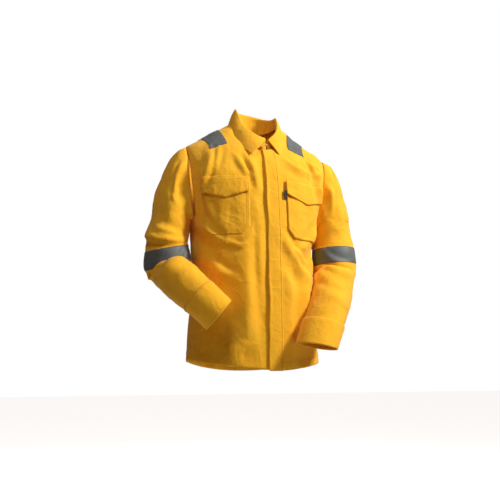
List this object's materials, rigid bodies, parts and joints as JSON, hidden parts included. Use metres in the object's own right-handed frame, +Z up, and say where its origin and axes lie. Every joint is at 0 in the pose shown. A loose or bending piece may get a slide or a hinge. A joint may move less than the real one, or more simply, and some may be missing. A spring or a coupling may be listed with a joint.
{
  "type": "turnout coat",
  "caption": "Bright yellow cotton work jacket with shirt collar, covered front, flapped chest pockets, reflective tapes and cuffed sleeves that swing and bend.",
  "frame": {"origin": "middle of the neck at the height of the shoulder seat, where a wearer's shoulders or a hanger hold the coat", "axes": "+Z up along the coat's length, -Y the front, +X the wearer's left"},
  "size_m": [0.6163, 0.3505, 0.7918],
  "materials": {
    "hi_vis_twill": "matte dyed cotton twill",
    "reflective_tape": "glass-bead retroreflective tape, satin",
    "button_resin": "dyed polyester resin",
    "hook_and_loop": "woven nylon pile",
    "brown_webbing": "folded woven tape",
    "label_satin": "plain woven satin, blank"
  },
  "bodies": {
    "coat_body": {"back_panel": "hi_vis_twill", "back_yoke": "hi_vis_twill", "right_front": "hi_vis_twill", "left_front": "hi_vis_twill", "fly_placket": "hi_vis_twill", "button_placket": "hi_vis_twill", "collar_stand": "hi_vis_twill", "collar_leaf": "hi_vis_twill", "right_pocket_bag": "hi_vis_twill", "left_pocket_bag": "hi_vis_twill", "hanger_loop": "hi_vis_twill", "right_shoulder_tape": "reflective_tape", "left_shoulder_tape": "reflective_tape", "front_button_1": "button_resin", "front_button_2": "button_resin", "front_button_3": "button_resin", "front_button_4": "button_resin", "front_button_5": "button_resin", "front_button_6": "button_resin", "stand_button": "button_resin", "right_pocket_loop_patch": "hook_and_loop", "left_pocket_loop_patch": "hook_and_loop", "pocket_tab": "brown_webbing", "neck_label": "label_satin"},
    "right_flap": {"right_pocket_flap": "hi_vis_twill", "right_flap_hook_patch": "hook_and_loop"},
    "left_flap": {"left_pocket_flap": "hi_vis_twill", "left_flap_hook_patch": "hook_and_loop"},
    "right_upper_arm": {"right_upper_sleeve": "hi_vis_twill", "right_elbow_tape": "reflective_tape"},
    "left_upper_arm": {"left_upper_sleeve": "hi_vis_twill", "left_elbow_tape": "reflective_tape", "pen_pocket": "hi_vis_twill"},
    "right_forearm": {"right_lower_sleeve": "hi_vis_twill", "right_cuff": "hi_vis_twill", "right_cuff_button": "button_resin", "right_sleeve_placket": "hi_vis_twill"},
    "left_forearm": {"left_lower_sleeve": "hi_vis_twill", "left_cuff": "hi_vis_twill", "left_cuff_button": "button_resin", "left_sleeve_placket": "hi_vis_twill"}
  },
  "joints": [
    {"name": "right_shoulder", "type": "hinge", "parent": "coat_body", "child": "right_upper_arm", "pos_m": [-0.185, -0.008, -0.16], "axis": [0, 1, 0], "range_deg": [0, 30]},
    {"name": "left_shoulder", "type": "hinge", "parent": "coat_body", "child": "left_upper_arm", "pos_m": [0.185, -0.008, -0.16], "axis": [0, -1, 0], "range_deg": [0, 30]},
    {"name": "right_elbow", "type": "hinge", "parent": "right_upper_arm", "child": "right_forearm", "pos_m": [-0.252, -0.038, -0.428], "axis": [-0.6541, -0.7161, 0.2437], "range_deg": [-30, 12]},
    {"name": "left_elbow", "type": "hinge", "parent": "left_upper_arm", "child": "left_forearm", "pos_m": [0.237, -0.042, -0.42], "axis": [-0.5555, 0.8029, -0.2161], "range_deg": [-30, 0]},
    {"name": "right_flap_lift", "type": "hinge", "parent": "coat_body", "child": "right_flap", "pos_m": [-0.1231, -0.1357, -0.188], "axis": [-0.9265, 0.3764, 0], "range_deg": [0, 100]},
    {"name": "left_flap_lift", "type": "hinge", "parent": "coat_body", "child": "left_flap", "pos_m": [0.1231, -0.1335, -0.188], "axis": [-0.9149, -0.4037, 0], "range_deg": [0, 100]}
  ]
}
